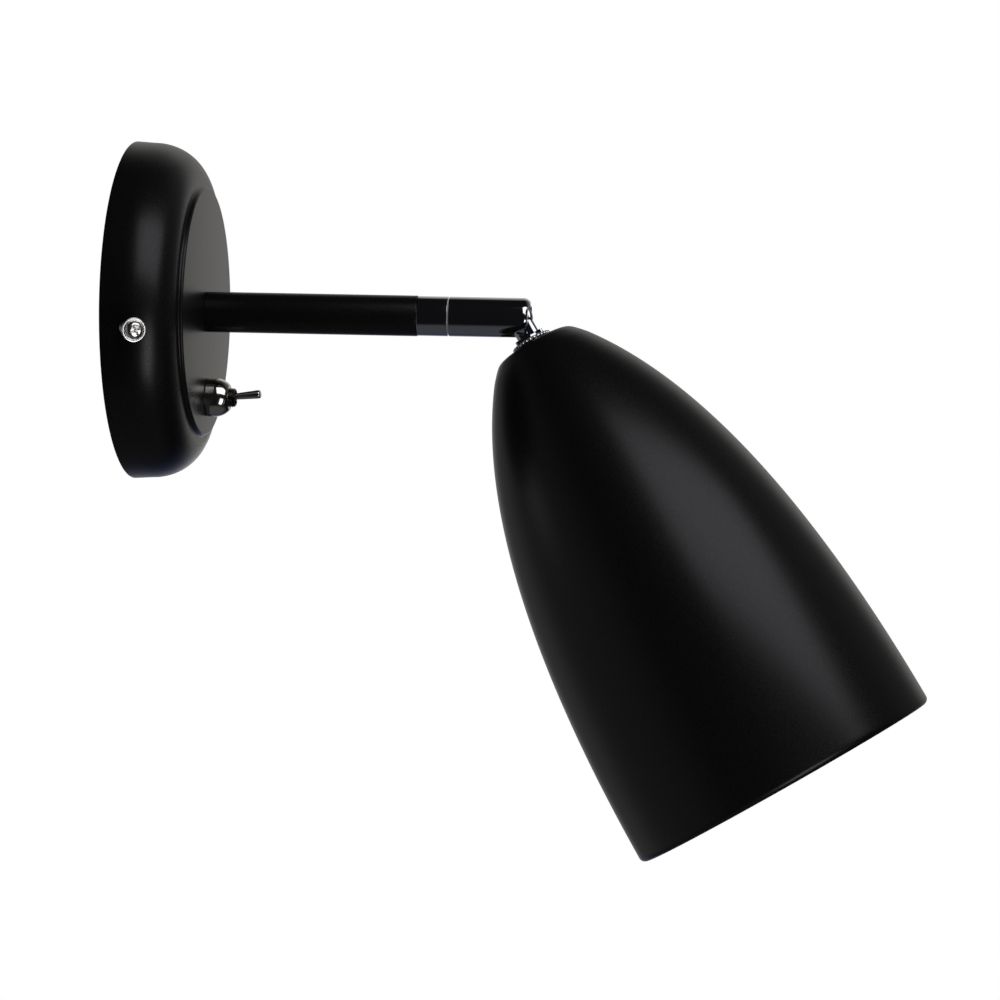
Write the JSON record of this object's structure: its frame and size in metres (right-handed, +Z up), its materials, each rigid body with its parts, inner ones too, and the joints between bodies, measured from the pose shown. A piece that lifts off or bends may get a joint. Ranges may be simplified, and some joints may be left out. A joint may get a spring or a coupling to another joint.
{
  "type": "adjustable wall light",
  "caption": "Wall light with a round rosette, toggle switch, straight arm and swivel knuckle that turns and tilts a bullet-shaped shade over a small bulb.",
  "frame": {"origin": "centre of the rosette's back, on the wall plane, on the arm's axis", "axes": "+X out of the wall along the arm, +Z up, so that -X goes into the wall"},
  "size_m": [0.2583, 0.1234, 0.2286],
  "materials": {
    "black_satin": "satin",
    "chrome": "polished",
    "nickel": "polished",
    "zinc": "satin",
    "brass": "satin",
    "cream_plastic": "matte",
    "white_plastic": "gloss",
    "opal": "satin",
    "fibre": "matte",
    "lead_grey": "satin",
    "lead_green": "satin",
    "switch_blue": "satin"
  },
  "bodies": {
    "base": {"wall_bracket": "zinc", "side_screws": "zinc", "rosette": "black_satin", "arm_tube": "black_satin", "arm_rod": "zinc", "rod_washer": "zinc", "rod_nut": "zinc", "swivel_ring": "chrome", "swivel_spigot": "brass", "stop_pin": "zinc", "slip_washer": "white_plastic", "wave_washer": "zinc", "spigot_nut": "brass", "terminal_block": "cream_plastic", "terminal_tubes": "brass", "terminal_screws": "zinc", "block_screw": "zinc", "earth_lug": "zinc", "earth_screw": "zinc", "arm_leads": "lead_grey", "switch_lead": "lead_grey", "earth_lead": "lead_green", "switch_body": "switch_blue", "switch_terminals": "nickel", "switch_washer": "zinc", "switch_bushing": "nickel", "dome_nut": "nickel"},
    "toggle": {"switch_lever": "nickel"},
    "knuckle": {"knuckle_body": "chrome", "pivot_pin": "chrome", "knuckle_leads": "lead_grey"},
    "head": {"pivot_tongue": "chrome", "friction_washers": "fibre", "knurled_ring": "chrome", "shade": "black_satin", "shade_washer": "zinc", "shade_nut": "zinc", "holder_cap": "cream_plastic", "holder_sleeve": "cream_plastic", "holder_core": "cream_plastic", "holder_thread": "brass", "holder_contact": "brass", "head_leads": "lead_grey", "bulb_base": "zinc", "bulb_contact": "zinc", "bulb_housing": "white_plastic", "bulb_globe": "opal"}
  },
  "joints": [
    {"name": "arm_swivel", "type": "hinge", "parent": "base", "child": "knuckle", "pos_m": [0.1026, 0, 0], "axis": [1, 0, 0], "range_deg": [-165, 165]},
    {"name": "shade_tilt", "type": "hinge", "parent": "knuckle", "child": "head", "pos_m": [0.1249, 0, 0], "axis": [0, 1, 0], "range_deg": [-58.7, 31.3]},
    {"name": "switch_toggle", "type": "hinge", "parent": "base", "child": "toggle", "pos_m": [0.029, 0.0063, -0.02728], "axis": [0, 0.3907, 0.9205], "range_deg": [0, 25]}
  ]
}
